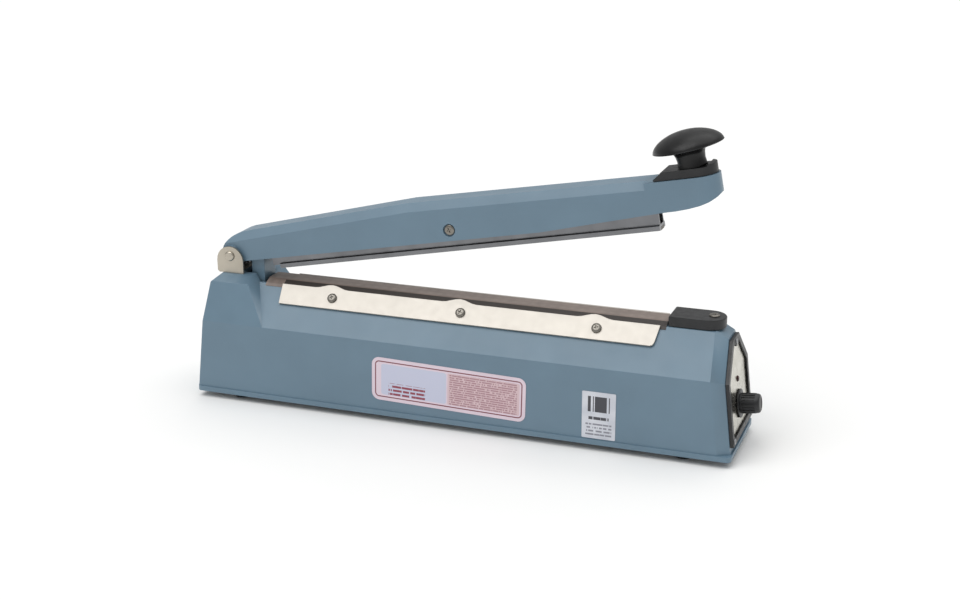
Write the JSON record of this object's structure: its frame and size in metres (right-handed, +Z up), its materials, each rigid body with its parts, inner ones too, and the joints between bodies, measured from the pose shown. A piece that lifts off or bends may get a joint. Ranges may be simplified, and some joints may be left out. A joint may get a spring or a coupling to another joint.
{
  "type": "impulse heat sealer",
  "caption": "Hand impulse heat sealer: hinged press arm with a mushroom knob over a heated rail on a hollow cast base, with a seal timer on its end.",
  "frame": {"origin": "middle of the footprint of the bounding box, on the surface that the feet stand on, with the arm open", "axes": "+X along the base from the hinge to the knob, +Y to the rear, +Z up"},
  "size_m": [0.4432, 0.082, 0.2355],
  "materials": {
    "grey_blue_enamel": "baked enamel on a die casting",
    "nickel_plate": "nickel plated pressed steel",
    "nickel_screws": "nickel plated screws",
    "clamp_nickel": "pale nickel plated strip",
    "rubber": "moulded rubber",
    "zinc_steel": "zinc plated steel",
    "aluminium_extrusion": "mill finish extrusion",
    "glass_tape": "woven glass insulating tape",
    "nichrome": "drawn ribbon",
    "ptfe_cloth": "PTFE coated glass cloth",
    "black_abs": "moulded ABS",
    "black_phenolic": "polished phenolic moulding",
    "brass": "machined brass",
    "satin_panel": "satin panel",
    "lamp_lens": "unlit lamp lens",
    "red_acetal": "moulded button",
    "silicone": "silicone rubber strip",
    "core_iron": "varnished steel laminations",
    "copper_winding": "enamelled copper winding",
    "circuit_board": "coated circuit board",
    "lead_insulation": "insulated lead",
    "rating_label": "printed film label",
    "small_sticker": "printed foil sticker"
  },
  "bodies": {
    "base": {"base_casting": "grey_blue_enamel", "foot_front_left": "rubber", "base_screw_front_left": "zinc_steel", "foot_front_right": "rubber", "base_screw_front_right": "zinc_steel", "foot_rear_left": "rubber", "base_screw_rear_left": "zinc_steel", "foot_rear_right": "rubber", "base_screw_rear_right": "zinc_steel", "bottom_plate": "zinc_steel", "sealing_rail": "aluminium_extrusion", "insulating_tape": "glass_tape", "heating_element": "nichrome", "ptfe_cover_sheet": "ptfe_cloth", "clamp_plate_front": "clamp_nickel", "clamp_screw_front_1": "nickel_screws", "clamp_screw_front_2": "nickel_screws", "clamp_screw_front_3": "nickel_screws", "clamp_plate_rear": "clamp_nickel", "clamp_screw_rear_1": "nickel_screws", "clamp_screw_rear_2": "nickel_screws", "clamp_screw_rear_3": "nickel_screws", "terminal_cover": "black_abs", "terminal_cover_screw": "nickel_screws", "element_terminal_right": "brass", "element_terminal_left": "brass", "hinge_bracket": "nickel_plate", "bracket_screw_1": "zinc_steel", "bracket_screw_2": "zinc_steel", "hinge_pin": "nickel_plate", "end_bezel": "black_abs", "control_panel": "satin_panel", "bezel_screw_top": "zinc_steel", "bezel_screw_front": "zinc_steel", "bezel_screw_rear": "zinc_steel", "indicator_lamp": "lamp_lens", "timer_potentiometer": "zinc_steel", "cord_bush": "rubber", "spring_post": "zinc_steel", "return_spring": "zinc_steel", "microswitch_body": "black_abs", "switch_bracket": "zinc_steel", "transformer_core": "core_iron", "transformer_coil": "copper_winding", "timer_board": "circuit_board", "element_lead_left": "lead_insulation", "element_lead_right": "lead_insulation", "front_label": "rating_label", "front_sticker": "small_sticker"},
    "arm": {"arm_casting": "grey_blue_enamel", "knob_seat": "black_abs", "mushroom_knob": "black_phenolic", "knob_bolt": "zinc_steel", "bar_pivot_screw": "nickel_screws", "bar_pivot_bush": "zinc_steel"},
    "bar": {"pressure_bar": "aluminium_extrusion", "silicone_strip": "silicone"},
    "timer": {"timer_knob": "black_abs"},
    "cup": {"push_cup": "zinc_steel"},
    "button": {"microswitch_button": "red_acetal"}
  },
  "joints": [
    {"name": "arm_hinge", "type": "hinge", "parent": "base", "child": "arm", "pos_m": [-0.19857, 0, 0.1122], "axis": [0, 1, 0], "range_deg": [0, 10.8], "stiffness_Nm_per_rad": 6, "springref_deg": -25.78},
    {"name": "bar_rock", "type": "hinge", "parent": "arm", "child": "bar", "pos_m": [-0.01438, 0, 0.14886], "axis": [0, 1, 0], "range_deg": [-0.2, 0.2]},
    {"name": "timer_turn", "type": "hinge", "parent": "base", "child": "timer", "pos_m": [0.20379, 0, 0.03528], "axis": [0.9929, 0, 0.1191], "range_deg": [0, 270]},
    {"name": "cup_slide", "type": "slide", "parent": "base", "child": "cup", "axis": [0, 0, -1], "range_m": [0, 0.0047], "deforming": ["return_spring"]},
    {"name": "button_slide", "type": "slide", "parent": "base", "child": "button", "axis": [0, 0, -1], "range_m": [0, 0.0012]}
  ],
  "couplings": [
    {"joint": "cup_slide", "follows": "arm_hinge", "m_per_rad": 0.0245},
    {"joint": "button_slide", "follows": "arm_hinge", "m_per_rad": 0.0053}
  ]
}
